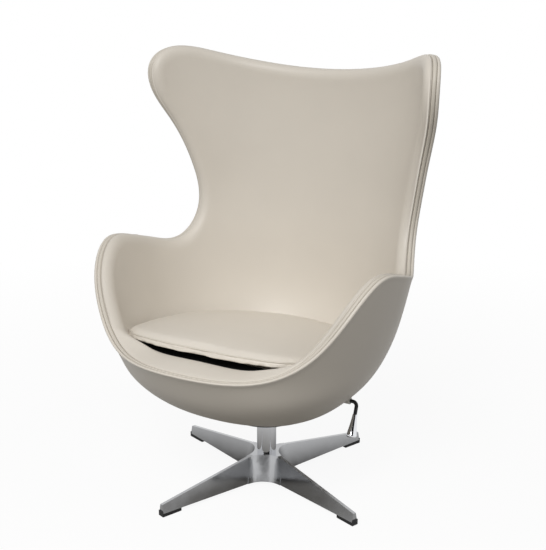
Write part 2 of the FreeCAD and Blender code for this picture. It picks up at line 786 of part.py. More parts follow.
def make_base_casting():
    casting = cylinder(HUB_R, casting_bottom, HUB_TOP)
    web = crotch_web().common(under_ridges())
    for number in range(LEG_COUNT):
        turn = 360.0 / LEG_COUNT * number
        for solid in (leg_bar(0.0, LEG_REACH, 0.0, casting_bottom), web):
            piece = solid.copy()
            piece.rotate(Vector(0, 0, 0), UP, turn)
            casting = casting.fuse(piece)
    casting = casting.common(cylinder(FAR, casting_bottom, HUB_TOP))
    for number in range(LEG_COUNT):
        hollow = leg_bar(HOLLOW_START, HOLLOW_END, CASTING_WALL, casting_bottom - PAST)
        hollow.rotate(Vector(0, 0, 0), UP, 360.0 / LEG_COUNT * number)
        casting = casting.cut(hollow)
    casting = casting.cut(cylinder(COLUMN_R, hub_floor_top, FAR))
    casting = casting.cut(cylinder(SPINDLE_R + SPINDLE_ROOM, 0, FAR))
    casting.rotate(Vector(0, 0, 0), UP, FIRST_LEG_DEG)
    return casting.cut(glide_screw_holes()).removeSplitter()


def on_each_leg(shape):
    """Copies of a piece made on a leg along +X, one for each leg."""
    copies = []
    for number in range(LEG_COUNT):
        copy = shape.copy()
        copy.rotate(Vector(0, 0, 0), UP, FIRST_LEG_DEG + 360.0 / LEG_COUNT * number)
        copies.append(copy)
    return copies


def glide_screw(radius):
    x = LEG_REACH - GLIDE_LENGTH / 2.0
    bottom = GLIDE_THICK / 2.0
    return cylinder(radius, bottom, casting_bottom + GLIDE_SCREW_LENGTH, x, 0)


def glide_screw_holes():
    return Part.makeCompound(on_each_leg(glide_screw(GLIDE_SCREW_R)))


def glide():
    """Black moulded foot under a leg's end, turned up over the end face."""
    half = GLIDE_WIDTH / 2.0
    inner = LEG_REACH + GLIDE_LIP_THICK - GLIDE_LENGTH
    outer = LEG_REACH + GLIDE_LIP_THICK
    foot = block(inner, outer, -half, half, 0, GLIDE_THICK)
    bottom_edges = [edge for edge in foot.Edges if edge.BoundBox.ZMax < 0.01]
    foot = foot.makeChamfer(GLIDE_CHAMFER, bottom_edges)
    lip = block(LEG_REACH, outer, -half, half, GLIDE_THICK, GLIDE_THICK + GLIDE_LIP)
    foot = foot.fuse(lip)
    head_room = cylinder(2 * GLIDE_SCREW_R, -PAST, GLIDE_THICK / 2.0, LEG_REACH - GLIDE_LENGTH / 2.0, 0)
    return foot.cut(head_room).cut(glide_screw(GLIDE_SCREW_R)).removeSplitter()


def make_glide_screws():
    x = LEG_REACH - GLIDE_LENGTH / 2.0
    middle = GLIDE_THICK / 2.0
    head = cylinder(2 * GLIDE_SCREW_R, middle - GLIDE_SCREW_HEAD, middle, x, 0)
    return Part.makeCompound(on_each_leg(head.fuse(glide_screw(GLIDE_SCREW_R))))


# Lever

def make_lever_rod():
    """Bent steel rod, made hanging straight down and then turned forward."""
    start = Vector(-PIVOT_END - ROD_NUT_THICK - ROD_END, 0, TILT_HEIGHT)
    bend = Vector(ROD_REACH - ROD_BEND_R, 0, TILT_HEIGHT)
    down = Vector(ROD_REACH, 0, TILT_HEIGHT - ROD_BEND_R)
    end = Vector(ROD_REACH, 0, TILT_HEIGHT - ROD_DROP)
    mid_turn = ROD_BEND_R * math.sqrt(0.5)
    knee = Vector(bend.x + mid_turn, 0, down.z + mid_turn)
    path = Part.Wire([Part.LineSegment(start, bend).toShape(), Part.Arc(bend, knee, down).toShape(),
                      Part.LineSegment(down, end).toShape()])
    section = Part.Wire(Part.makeCircle(ROD_R, start, SIDE))
    return path.makePipeShell([section], True, False)


def make_lever_handle():
    """Drop-shaped metal handle on the rod's end, with a rounded foot."""
    top = TILT_HEIGHT - ROD_DROP
    foot = top - HANDLE_LENGTH
    axis_top = Vector(0, 0, top)
    axis_foot = Vector(0, 0, foot)
    neck = Vector(HANDLE_NECK_R, 0, top)
    widest = Vector(HANDLE_END_R, 0, foot + HANDLE_ROUND)
    waist = (neck + widest) / 2.0 - Vector(HANDLE_WAIST, 0, 0)
    knee = Vector(HANDLE_KNEE_R, 0, foot + HANDLE_KNEE_HEIGHT)
    base = Vector(HANDLE_FOOT_R, 0, foot)
    edges = [Part.LineSegment(axis_top, neck).toShape(), Part.Arc(neck, waist, widest).toShape(),
             Part.Arc(widest, knee, base).toShape(), Part.LineSegment(base, axis_foot).toShape(),
             Part.LineSegment(axis_foot, axis_top).toShape()]
    handle = Part.Face(Part.Wire(edges)).revolve(Vector(0, 0, 0), UP, 360)
    handle.translate(Vector(ROD_REACH, 0, 0))
    return handle


def hang_forward(shape):
    turned = shape.copy()
    turned.rotate(Vector(0, 0, TILT_HEIGHT), SIDE, -ROD_HANG_DEG)
    return turned


def make_lever_nut():
    nut = hexagon_nut(ROD_NUT_ACROSS, ROD_R, ROD_NUT_THICK)
    return place_on_tilt_axis(nut, -PIVOT_END - RUNNING - ROD_NUT_THICK)


def make_lever_collar():
    """Collar fixed on the rod against the pivot's other end."""
    start = PIVOT_END + RUNNING
    collar = cross_cylinder(ROD_R + COLLAR_WALL, start, start + COLLAR_LENGTH)
    return collar.cut(cross_cylinder(ROD_R, -FAR, FAR))


def make_lever_bush():
    """Nylon bush that guides the rod through the pod's wall."""
    bush = cross_cylinder(ROD_BUSH_R, ROD_BUSH_START, ROD_BUSH_END)
    return bush.cut(cross_cylinder(ROD_R + RUNNING, -FAR, FAR))


save("outer_cover", make_outer_cover())
save("outer_padding", make_outer_padding())
save("moulded_shell", make_moulded_shell())
save("wall_padding", make_wall_padding())
save("seat_foam", make_seat_foam())
save("mounting_block", make_mounting_block())
save("inner_cover", make_inner_cover())
save("deck_lining", make_deck_lining())
save("rim_welt", make_rim_welt())
save("cushion_cover", make_cushion_cover())
save("cushion_core", make_cushion_core())
save("cushion_piping", make_cushion_piping())
save("dust_cover", make_dust_cover())
save("dust_cover_screws", make_dust_cover_screws())
save("seat_plate", make_seat_plate())
save("seat_plate_screws", make_seat_plate_screws())
save("tilt_pivot", make_tilt_pivot())
save("pivot_clips", make_pivot_clips())
save("swivel_bracket", make_swivel_bracket())
save("pivot_bushes", make_pivot_bushes())
save("torsion_sleeve", make_torsion_sleeve())
save("spindle", make_spindle())
save("spindle_nut", make_spindle_nut())
save("upper_race", make_upper_race())
save("bearing_balls", make_bearing_balls())
save("ball_cage", make_ball_cage())
save("lower_race", make_lower_race())
save("upper_bush", make_upper_bush())
save("lower_bush", make_lower_bush())
save("column", make_column())
save("spindle_washer", make_spindle_washer())
save("spindle_clip", make_spindle_clip())
save("base_casting", make_base_casting())
for leg_name, foot in zip(("left", "back", "right", "front"), on_each_leg(glide())):
    save(f"glide_{leg_name}", foot)
save("glide_screws", make_glide_screws())
save("lever_rod", hang_forward(make_lever_rod()))
save("lever_handle", hang_forward(make_lever_handle()))
save("lever_nut", make_lever_nut())
save("lever_collar", make_lever_collar())
save("lever_bush", make_lever_bush())
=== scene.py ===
import math

import bmesh
import bpy
import numpy as np
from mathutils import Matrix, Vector, noise
from mathutils.bvhtree import BVHTree
from mathutils.geometry import delaunay_2d_cdt


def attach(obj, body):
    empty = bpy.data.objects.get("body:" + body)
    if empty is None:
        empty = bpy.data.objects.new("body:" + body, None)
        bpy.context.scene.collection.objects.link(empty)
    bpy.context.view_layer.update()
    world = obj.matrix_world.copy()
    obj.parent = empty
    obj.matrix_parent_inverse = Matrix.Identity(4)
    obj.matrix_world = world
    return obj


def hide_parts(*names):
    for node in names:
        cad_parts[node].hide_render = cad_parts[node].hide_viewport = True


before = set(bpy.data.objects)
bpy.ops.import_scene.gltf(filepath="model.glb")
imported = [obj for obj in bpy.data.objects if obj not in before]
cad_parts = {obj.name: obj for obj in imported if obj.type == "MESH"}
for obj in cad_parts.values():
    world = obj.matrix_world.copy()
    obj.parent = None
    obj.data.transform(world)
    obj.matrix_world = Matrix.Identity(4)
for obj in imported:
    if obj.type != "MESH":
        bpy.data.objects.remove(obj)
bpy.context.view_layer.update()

# Stage
# A matt white studio floor, a large soft lamp, a narrow beam on the seat and the camera. None of it
# belongs to the chair.
scene = bpy.context.scene
scene.view_settings.view_transform = "Standard"


def colour(hex_code):
    """An sRGB hex colour as the linear values that the shaders work in."""
    channels = [int(hex_code[i:i + 2], 16) / 255 for i in (1, 3, 5)]
    linear = [c / 12.92 if c <= 0.04045 else ((c + 0.055) / 1.055) ** 2.4 for c in channels]
    return (*linear, 1)


def add(tree, kind, links=None, inputs=None, **settings):
    """One shader node with its settings, its sockets' values and its links."""
    node = tree.nodes.new(kind)
    for name, value in settings.items():
        setattr(node, name, value)
    for socket, value in (inputs or {}).items():
        node.inputs[socket].default_value = value
    for socket, (source, output) in (links or {}).items():
        tree.links.new(source.outputs[output], node.inputs[socket])
    return node


def new_material(name):
    """An empty material and its node tree."""
    material = bpy.data.materials.new(name)
    material.use_nodes = True
    material.node_tree.nodes.clear()
    return material, material.node_tree


def place(name, data):
    """A new object in the scene, at the origin."""
    piece = bpy.data.objects.new(name, data)
    scene.collection.objects.link(piece)
    return piece


camera = place("camera", bpy.data.cameras.new("camera"))
camera.location = (1.2548, -2.0255, 1.2207)
camera.rotation_euler = (math.radians(74.246), 0, math.radians(30.99))
camera.data.lens = 67.1
scene.camera = camera

# The camera sees the floor white, with the chair's shadow on it. All other rays see a grey copy of it,
# painted shade; in the metal this grey shows close to the chair, and the floor turns white further away.
bpy.ops.mesh.primitive_plane_add(size=60)
floor = bpy.context.object
floor.name = "studio_floor"
floor_white, tree = new_material("matt_white_floor")
path = add(tree, "ShaderNodeLightPath")
where = add(tree, "ShaderNodeTexCoord")
away = add(tree, "ShaderNodeVectorMath", {0: (where, "Object")}, operation="LENGTH")
fade = add(tree, "ShaderNodeMapRange", {"Value": (away, "Value")},
           {"From Min": 0.7, "From Max": 2.4, "To Min": 0.92, "To Max": 1.0})
far = add(tree, "ShaderNodeMapRange", {"Value": (away, "Value")}, {"From Min": 0.15, "From Max": 0.62})
mirrored = add(tree, "ShaderNodeMath", {0: (path, "Is Glossy Ray"), 1: (far, 0)}, operation="MULTIPLY")
seen = add(tree, "ShaderNodeMath", {0: (path, "Is Camera Ray"), 1: (mirrored, 0)}, operation="MAXIMUM")
white_paper = add(tree, "ShaderNodeBsdfDiffuse", inputs={"Color": colour("#f6f6f5")})
glow = add(tree, "ShaderNodeEmission", inputs={"Color": colour("#ffffff"), "Strength": 1.0})
lit_paper = add(tree, "ShaderNodeMixShader", {0: (fade, 0), 1: (white_paper, 0), 2: (glow, 0)})
# A grey copy of the paper, painted shade, seen by every ray but the camera's; the metal sees it only near
# the chair.
painted_shade_paper = add(tree, "ShaderNodeBsdfDiffuse", inputs={"Color": colour("#92908c")})
paper = add(tree, "ShaderNodeMixShader", {0: (seen, 0), 1: (painted_shade_paper, 0), 2: (lit_paper, 0)})
add(tree, "ShaderNodeOutputMaterial", {"Surface": (paper, 0)})
floor.data.materials.append(floor_white)

scene.world = bpy.data.worlds.new("soft_room")
scene.world.use_nodes = True
tree = scene.world.node_tree
tree.nodes.clear()
room = add(tree, "ShaderNodeBackground", inputs={"Color": colour("#ffffff"), "Strength": 0.40})
backdrop = add(tree, "ShaderNodeBackground", inputs={"Color": colour("#ffffff"), "Strength": 1.0})
path = add(tree, "ShaderNodeLightPath")
seen = add(tree, "ShaderNodeMath", {0: (path, "Is Camera Ray"), 1: (path, "Is Glossy Ray")},
           operation="MAXIMUM")
mixed = add(tree, "ShaderNodeMixShader", {0: (seen, 0), 1: (room, 0), 2: (backdrop, 0)})
add(tree, "ShaderNodeOutputWorld", {"Surface": (mixed, 0)})


def aimed(piece, from_place, at_place):
    """Puts a lamp or a card in its place and turns it to face another."""
    piece.location = from_place
    piece.rotation_euler = (Vector(at_place) - Vector(from_place)).to_track_quat("-Z", "Y").to_euler()


key = place("key_soft_box", bpy.data.lights.new("key_soft_box", "AREA"))
key.data.size = 1.3
key.data.energy = 68
aimed(key, (0.6, -2.4, 2.65), (0, 0, 0.6))

# A narrow beam on the seat, where the leather is brightest.
beam = place("seat_beam", bpy.data.lights.new("seat_beam", "SPOT"))
beam.data.energy = 85
beam.data.spot_size = math.radians(15)
beam.data.spot_blend = 1
beam.data.shadow_soft_size = 0.2
aimed(beam, (0.5, -1.8, 2.3), (-0.02, 0, 0.47))

# A dark cloth hung behind the camera, seen only in the polished metal.
dark_cloth, tree = new_material("dark_studio_cloth")
unlit = add(tree, "ShaderNodeBsdfDiffuse", inputs={"Color": colour("#4a4a4a")})
add(tree, "ShaderNodeOutputMaterial", {"Surface": (unlit, 0)})
bpy.ops.mesh.primitive_plane_add(size=1)
curtain = bpy.context.object
curtain.name = "dark_curtain"
curtain.scale = (5, 3.6, 1)
aimed(curtain, (1.8, -2.95, 2.0), (0, 0, 0.6))
curtain.visible_camera = curtain.visible_shadow = curtain.visible_diffuse = False
curtain.data.materials.append(dark_cloth)

# Leather
# Cream aniline-dyed cowhide with a fine, even grain and a soft sheen. The welt and the cushion's
# piping are cut from the same hide, painted a little darker as painted shade along their seams.


def grained_leather(name, hex_code):
    """Dyed hide: fine grain, faint clouding of the dye and a soft, uneven sheen.

    The clouds are about 140 mm wide and the grain's cells 1.6 mm, drawn a little coarser than on the
    real hide so that they show, over pores 4 mm apart.
    """
    material, tree = new_material(name)
    where = add(tree, "ShaderNodeTexCoord")
    clouds = add(tree, "ShaderNodeTexNoise", {"Vector": (where, "Object")}, {"Scale": 7.0, "Detail": 3.0})
    tone = add(tree, "ShaderNodeMapRange", {"Value": (clouds, 0)}, {"To Min": 0.965, "To Max": 1.03})
    dye = add(tree, "ShaderNodeMix", {"Factor": (tone, 0)}, data_type="RGBA", clamp_factor=False)
    dye.inputs["A"].default_value = (0, 0, 0, 1)
    dye.inputs["B"].default_value = colour(hex_code)
    cells = add(tree, "ShaderNodeTexVoronoi", {"Vector": (where, "Object")}, {"Scale": 620.0})
    pores = add(tree, "ShaderNodeTexNoise", {"Vector": (where, "Object")}, {"Scale": 260.0, "Detail": 2.0})
    relief = add(tree, "ShaderNodeMath", {0: (cells, "Distance"), 1: (pores, 0)}, operation="ADD")
    grain = add(tree, "ShaderNodeBump", {"Height": (relief, 0)}, {"Strength": 0.12, "Distance": 0.0004})
    sheen = add(tree, "ShaderNodeMapRange", {"Value": (clouds, 0)}, {"To Min": 0.42, "To Max": 0.5})
    hide = add(tree, "ShaderNodeBsdfPrincipled",
               {"Base Color": (dye, "Result"), "Roughness": (sheen, 0), "Normal": (grain, 0)},
               {"Specular IOR Level": 0.4})
    add(tree, "ShaderNodeOutputMaterial", {"Surface": (hide, 0)})
    return material


cream_leather = grained_leather("cream_cowhide", "#d0c9be")
# The same hide painted a little darker: painted shade along the seams of the welt and the piping.
welt_leather = grained_leather("cream_cowhide_painted_seam_shade", "#c7c0b4")

# Form of the pod
# The upholstered shell is one egg-like wall, cut along a wavy rim. Its outside is a stack of level
# rings, and the leather is cut in three pieces that meet along the rim: the outer cover, a narrow
# welt between two seams, and the inner cover.
MM = 0.001
AXIS = np.array((0, 0.032, 0))          # the swivel axis stands this far behind the origin
POD_RINGS = np.array([                  # height, half width, front, back and widest line, in mm
    (182, 94, -94, 94, 0),
    (193, 123, -112, 123, -6),
    (210, 151, -151, 149, -12),
    (241, 202, -222, 196, -23),
    (300, 266, -316, 249, -31),
    (385, 320, -375, 292, -39),
    (480, 352, -450, 307, -40),
    (585, 377, -540, 311, -38),
    (690, 395, -560, 318, -22),
    (800, 397, -578, 326, -9),
    (910, 405, -588, 329, -5),
    (1010, 412, -594, 320, -6),
    (1090, 412, -600, 306, -6),
]) * MM
FRONT_FULLNESS = 2.2
BACK_FULLNESS = 2.0
RIM_LINE = np.array([                   # the rim seen from the side: y and height, in mm
    (-381, 409), (-366, 408), (-340, 412), (-295, 447), (-237, 545), (-144, 622), (-40, 605),
    (17, 589), (94, 576), (160, 649), (158, 770), (113, 891), (67, 984), (72, 1036), (123, 1071),
    (218, 1054), (283, 1027), (307, 1016),
]) * MM


def smooth_curve(stations, values):
    """A function that reads a natural cubic curve through values at stations."""
    gaps = np.diff(stations)
    system = np.eye(len(stations))
    bend = np.zeros_like(values)
    for i in range(1, len(stations) - 1):
        system[i, i - 1:i + 2] = gaps[i - 1], 2 * (gaps[i - 1] + gaps[i]), gaps[i]
        bend[i] = 6 * ((values[i + 1] - values[i]) / gaps[i] - (values[i] - values[i - 1]) / gaps[i - 1])
    bend = np.linalg.solve(system, bend)

    def read(at):
        i = np.clip(np.searchsorted(stations, at) - 1, 0, len(gaps) - 1)
        gap = gaps[i][..., None]
        left = (stations[i + 1] - at)[..., None]
        right = (at - stations[i])[..., None]
        curved = (bend[i] * left ** 3 + bend[i + 1] * right ** 3) / (6 * gap)
        straight_left = (values[i] / gap - bend[i] * gap / 6) * left
        return curved + straight_left + (values[i + 1] / gap - bend[i + 1] * gap / 6) * right
    return read


def travelled(points):
    """Distance along a line of points."""
    return np.r_[0, np.cumsum(np.linalg.norm(np.diff(points, axis=0), axis=1))]


ring_stations = travelled(POD_RINGS[:, :2])
ring_at = smooth_curve(ring_stations, POD_RINGS)


def on_pod(spots):
    """Places on the pod's outside. A spot is an angle, 0 at the back, and a station up the wall."""
    angle, station = spots[..., 0], spots[..., 1]
    height, half, front, back, middle = np.moveaxis(ring_at(station), -1, 0)
    across, along = np.sin(angle), np.cos(angle)
    power = np.where(along > 0, BACK_FULLNESS, FRONT_FULLNESS)
    reach = np.where(along > 0, back - middle, middle - front)
    x = half * np.sign(across) * np.abs(across) ** (2 / power)
    y = middle + reach * np.sign(along) * np.abs(along) ** (2 / power)
    return np.stack([x, y, height], -1)


def slopes(spots, step=(0.002, 0.0005)):
    """How a place on the pod moves with its angle and with its station."""
    sides = []
    for axis in (0, 1):
        shift = np.zeros(2)
        shift[axis] = step[axis]
        sides.append((on_pod(spots + shift) - on_pod(spots - shift)) / (2 * step[axis]))
    return sides


def unit(vectors):
    return vectors / np.linalg.norm(vectors, axis=-1, keepdims=True)


def outward(spots):
    by_angle, by_station = slopes(spots)
    return unit(np.cross(by_angle, by_station)) * -1


CREST_INSET = 12 * MM                   # the rim line is the crest, this far inside the outer surface
CREST_FIT_ROUNDS = 4
CREST_SAMPLES, HEIGHT_SAMPLES = 800, 4000
SMOOTHING_ROUNDS = 8
RIM_COUNT = 280                         # stations along half of the rim
BAND = 40                               # rows that follow the rim down the wall, a millimetre apart


def level_outward(spots):
    """The way out of the wall, kept level."""
    way = outward(spots) * (1, 1, 0)
    return unit(way)


def rim_spots():
    """Half of the rim's outer edge, evenly spaced from the middle of the lip to the crown's."""
    reach = travelled(RIM_LINE)
    line = smooth_curve(reach, RIM_LINE)(np.linspace(0, reach[-1], CREST_SAMPLES))
    table = np.linspace(0, ring_stations[-1], HEIGHT_SAMPLES)
    stations = np.interp(line[:, 1], ring_at(table)[:, 0], table)
    height, half, front, back, middle = ring_at(stations).T
    y = line[:, 0]
    for _ in range(CREST_FIT_ROUNDS):
        behind = y > middle
        reach = np.where(behind, back - middle, middle - front)
        power = np.where(behind, BACK_FULLNESS, FRONT_FULLNESS)
        turn = np.arccos(np.clip(np.abs(y - middle) / reach, 0, 1) ** (power / 2))
        spots = np.stack([np.where(behind, turn, math.pi - turn), stations], -1)
        y = line[:, 0] + CREST_INSET * level_outward(spots)[:, 1]
    spots = np.vstack([(math.pi, stations[0]), spots, (0, stations[-1])])
    along = travelled(on_pod(spots))
    even = np.linspace(0, along[-1], RIM_COUNT + 1)
    spots = np.stack([np.interp(even, along, spots[:, axis]) for axis in (0, 1)], -1)
    for _ in range(SMOOTHING_ROUNDS):
        spots[1:-1] = (spots[:-2] + 2 * spots[1:-1] + spots[2:]) / 4
    return spots


def band_below(rim):
    """Spots square to the rim, in one row for each millimetre down the wall."""
    places = on_pod(rim)
    padded = np.vstack([places[1] * (-1, 1, 1), places, places[-2] * (-1, 1, 1)])
    down = np.cross(unit(padded[2:] - padded[:-2]), outward(rim))
    rows = [rim]
    for _ in range(BAND):
        spots = rows[-1]
        by_angle, by_station = slopes(spots)
        skin = outward(spots)
        down = unit(down - skin * (down * skin).sum(-1, keepdims=True))
        aa, ss, cross = [(a * b).sum(-1) for a, b in
                         ((by_angle, by_angle), (by_station, by_station), (by_angle, by_station))]
        along_a, along_s = (by_angle * down).sum(-1), (by_station * down).sum(-1)
        share = MM / (aa * ss - cross ** 2)
        step = np.stack([(ss * along_a - cross * along_s) * share,
                         (aa * along_s - cross * along_a) * share], -1)
        step[[0, -1], 0] = 0
        rows.append(spots + step)
    return np.array(rows)


rim = rim_spots()
band = band_below(rim)


def rim_places(depth, below):
    """Places in the rim, at a level depth in the wall and a distance below the rim, in metres."""
    row = np.clip(np.broadcast_to(below / MM, len(rim)), 0, BAND)
    low = np.minimum(row.astype(int), BAND - 1)
    share = (row - low)[:, None]
    column = np.arange(len(rim))
    spots = band[low, column] * (1 - share) + band[low + 1, column] * share
    return AXIS + on_pod(spots) - np.broadcast_to(depth, len(rim))[:, None] * level_outward(spots)


# The wall under the band is cut in triangles about as wide as this.
WALL_CELL = 14 * MM
ROW_SHARE = 0.87                        # rows of an even triangle grid lie this much closer than its sides
EDGE_SHARE = 0.6                        # no inner corner lies nearer to the edge, as a share of a side
UNROLL_RADIUS = 0.35                    # the wall is laid flat as if it were a cylinder of this radius
BOTTOM_COUNT = 46
edge = band[-1]


def stations_between(low, high):
    return np.linspace(low, high, round(abs(high - low) / WALL_CELL) + 1)


back_edge = [(0, s) for s in stations_between(edge[-1, 1], 0)[1:]]
bottom_edge = [(a, 0) for a in np.linspace(0, math.pi, BOTTOM_COUNT)[1:]]
front_edge = [(math.pi, s) for s in stations_between(0, edge[0, 1])[1:-1]]
outline = np.vstack([edge, back_edge, bottom_edge, front_edge])
unrolled = outline * (UNROLL_RADIUS, 1)
grid = []
for row, station in enumerate(np.arange(WALL_CELL / 2, outline[:, 1].max(), WALL_CELL * ROW_SHARE)):
    for across in np.arange(WALL_CELL * (0.5 + row % 2 / 2), math.pi * UNROLL_RADIUS, WALL_CELL):
        if np.linalg.norm(unrolled - (across, station), axis=1).min() > WALL_CELL * EDGE_SHARE:
            grid.append((across, station))
flat = [Vector(p) for p in np.vstack([unrolled, grid])]
flat, _, faces, first, _, _ = delaunay_2d_cdt(flat, [], [list(range(len(outline)))], 1, 1e-7)
wall_spots = np.array([(p.x / UNROLL_RADIUS, p.y) for p in flat])
wall_faces = np.array(faces)
on_edge = {source: i for i, sources in enumerate(first) for source in sources if source <= RIM_COUNT}
edge_vertices = np.array([on_edge[i] for i in range(RIM_COUNT + 1)])


ON_MIDDLE = 0.05 * MM                   # corners this near to the middle plane are put on it
MERGE_REACH = 0.1 * MM


def leather(name, rows, wall_places=None, keep=None, outside=False):
    """A sheet of leather from rows along half of the rim and the wall below, and its mirror image."""
    columns = RIM_COUNT + 1
    corner = np.arange(columns - 1)
    quads = [np.stack([r + corner, r + corner + 1, r + corner + 1 + columns, r + corner + columns], -1)
             for r in columns * np.arange(len(rows) - 1)]
    vertices = np.vstack(rows)
    faces = np.vstack(quads).tolist()
    if wall_places is not None:
        number = np.arange(len(wall_places)) + len(vertices)
        number[edge_vertices] = columns * (len(rows) - 1) + np.arange(columns)
        vertices = np.vstack([vertices, wall_places])
        faces += number[wall_faces if keep is None else wall_faces[keep]].tolist()
    if outside:
        faces = [face[::-1] for face in faces]
    mesh = bpy.data.meshes.new(name)
    mesh.from_pydata(vertices.tolist(), [], faces)
    tidy = bmesh.new()
    tidy.from_mesh(mesh)
    bmesh.ops.delete(tidy, geom=[v for v in tidy.verts if not v.link_faces], context="VERTS")
    for vertex in tidy.verts:
        if abs(vertex.co.x) < ON_MIDDLE:
            vertex.co.x = 0
    tidy.to_mesh(mesh)
    tidy.free()
    mesh.shade_smooth()
    piece = place(name, mesh)
    mirror = piece.modifiers.new("other_half", "MIRROR")
    mirror.merge_threshold = MERGE_REACH
    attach(piece, "pod")
    return piece


# Outer cover
# Leather drawn over thin padding on the outside of the moulded shell. It rolls over the rim and is
# sewn to the welt, and it ends round the opening under the seat.
ROLL_WIDTH, ROLL_DROP = 5.6 * MM, 6 * MM
ROLL_SWELL = 1.2 * MM                   # the roll stands out of the wall by this much,
SWELL_CENTRE, SWELL_SPREAD = 6, 7       # most of all this many millimetres below the crest
ROLL_TOP = 1.2 * MM                     # the roll begins this far below the crest
OUTER_SEAM = [(6.9, 4.5), (6.6, 2.7)]   # depth in the wall and distance below the crest
FLANK_SWELL, FLANK_HEIGHT, FLANK_SPREAD = 7.5 * MM, 340 * MM, 45 * MM
FLANK_START, FLANK_END = (12, 42), (62, 105)        # degrees round from the front, where it comes and goes


def eased(value, low, high):
    share = np.clip((value - low) / (high - low), 0, 1)
    return share * share * (3 - 2 * share)


def flank(places):
    """How far the padding stands out, low beside the seat's front."""
    turn = np.degrees(np.arctan2(np.abs(places[:, 0]), AXIS[1] - places[:, 1]))
    beside = eased(turn, *FLANK_START) * (1 - eased(turn, *FLANK_END))
    return FLANK_SWELL * beside * np.exp(-((places[:, 2] - FLANK_HEIGHT) / FLANK_SPREAD) ** 2)


rows = [rim_places(depth * MM, below * MM) for depth, below in OUTER_SEAM]
for turn in np.radians((0, 22, 44, 66, 90)):
    rows.append(rim_places(ROLL_WIDTH - (ROLL_WIDTH + ROLL_SWELL) * math.sin(turn),
                           ROLL_DROP - (ROLL_DROP - ROLL_TOP) * math.cos(turn)))
way_out = level_outward(rim)
for below in (9, 12, 16, 21, 27, 33, BAND):
    row = rim_places(-ROLL_SWELL * math.exp(-((below - SWELL_CENTRE) / SWELL_SPREAD) ** 2), below * MM)
    rows.append(row + way_out * (flank(row) * eased(below, SWELL_CENTRE, BAND))[:, None])
outside_places = AXIS + on_pod(wall_spots)
outside_places += outward(wall_spots) * flank(outside_places)[:, None]
outer_cover = leather("pod_outer_leather", rows, outside_places, outside=True)
outer_cover.data.materials.append(cream_leather)
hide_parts("outer_cover", "outer_padding")

# Welt
# A strip of the same leather over a flat cord, sewn between the two covers all along the rim.
WELT = [(7.2, 4.5), (7.5, 2.4), (8.6, 0.9), (10.4, 0.2), (12, 0), (13.6, 0.2), (15.4, 0.9), (16.5, 2.4),
        (16.8, 4.5)]
welt = leather("rim_welt_leather", [rim_places(depth * MM, below * MM) for depth, below in WELT])
# Its leather is painted a little darker than the covers, painted shade along the two seams.
welt.data.materials.append(welt_leather)
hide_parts("rim_welt")

# Inner cover
# Leather over foam on the inside of the shell, drawn smooth over the arms, the wings and the head.
# In front of the seat it lies over the deep padded lip, and it is tucked down past the deck.
WALL = 38 * MM
LIP_FULL, LIP_END = 414 * MM, 452 * MM
LIP_SWELL = 2 * MM                      # the lip's padding stands above the rim by this much
LIP_FADE = 120 * MM                     # the lip runs out over this length beside the well
WELL = {"half": 284 * MM, "front": -286 * MM, "middle": -70 * MM, "fullness": 3.7}


WELL_SEARCH, HALVINGS = 200 * MM, 20    # how far from the outside the well is looked for


def lip_share(places):
    """1 at the height of the padded lip, 0 where only the plain wall is left."""
    return 1 - eased(places[:, 2], LIP_FULL, LIP_END)


def wall_depth(spots):
    """Level thickness of the wall."""
    places = on_pod(spots)
    way_out = level_outward(spots)
    steepness = (outward(spots) * way_out).sum(-1)
    wall = WALL / steepness
    near, far = np.zeros(len(spots)), np.full(len(spots), WELL_SEARCH)
    for _ in range(HALVINGS):
        middle = (near + far) / 2
        x, y = (places - middle[:, None] * way_out)[:, :2].T
        inside = (np.abs(x / WELL["half"]) ** WELL["fullness"]
                  + np.abs((y - WELL["middle"]) / (WELL["front"] - WELL["middle"])) ** WELL["fullness"]) < 1
        near, far = np.where(inside, near, middle), np.where(inside, middle, far)
    lip = lip_share(places) * eased(WELL["middle"] - places[:, 1], 0, LIP_FADE)
    return wall + lip * np.maximum(near - wall, 0)


deep = wall_depth(rim)
lip = lip_share(on_pod(rim))
ROLL_START = 20.5 * MM
WALL_ROLL, LIP_ROLL = (22 * MM, 26 * MM), (10 * MM, 7 * MM)     # width and drop of the inner roll
SEAM_DROP = 0.4 * MM
roll_width = np.minimum(deep - ROLL_START, WALL_ROLL[0] + lip * (LIP_ROLL[0] - WALL_ROLL[0]))
roll_drop = WALL_ROLL[1] + lip * (LIP_ROLL[1] - WALL_ROLL[1])
INNER_SEAM = [(17.1, 4.5), (17.4, 2.6), (18.6, 1.3), (20.5, 0.5)]
rows = [rim_places(depth * MM, below * MM) for depth, below in INNER_SEAM]
swell = lip[:, None] * (0, 0, LIP_SWELL)
for share in (0.25, 0.5, 0.75, 1):
    rows.append(rim_places(ROLL_START + (deep - roll_width - ROLL_START) * share, SEAM_DROP)
                + swell * math.sin(share * math.pi / 2))
for turn in np.radians((15, 30, 45, 60, 75, 90)):
    below = SEAM_DROP + roll_drop * (1 - math.cos(turn))
    rows.append(rim_places(deep - roll_width * (1 - math.sin(turn)), below) + swell * math.cos(turn))
for share in (0.33, 0.67, 1):
    rows.append(rim_places(deep, roll_drop + (BAND * MM - roll_drop) * share))
rows[-1] = AXIS + on_pod(edge) - wall_depth(edge)[:, None] * level_outward(edge)
wall_inside = AXIS + on_pod(wall_spots) - wall_depth(wall_spots)[:, None] * level_outward(wall_spots)
DECK_FRONT, DECK_FRONT_HEIGHT = -284 * MM, 412.5 * MM
DECK_SLOPE = -0.128


def deck_height(y):
    """Height of the seat deck at a place from front to back."""
    return DECK_FRONT_HEIGHT + DECK_SLOPE * (y - AXIS[1] - DECK_FRONT)


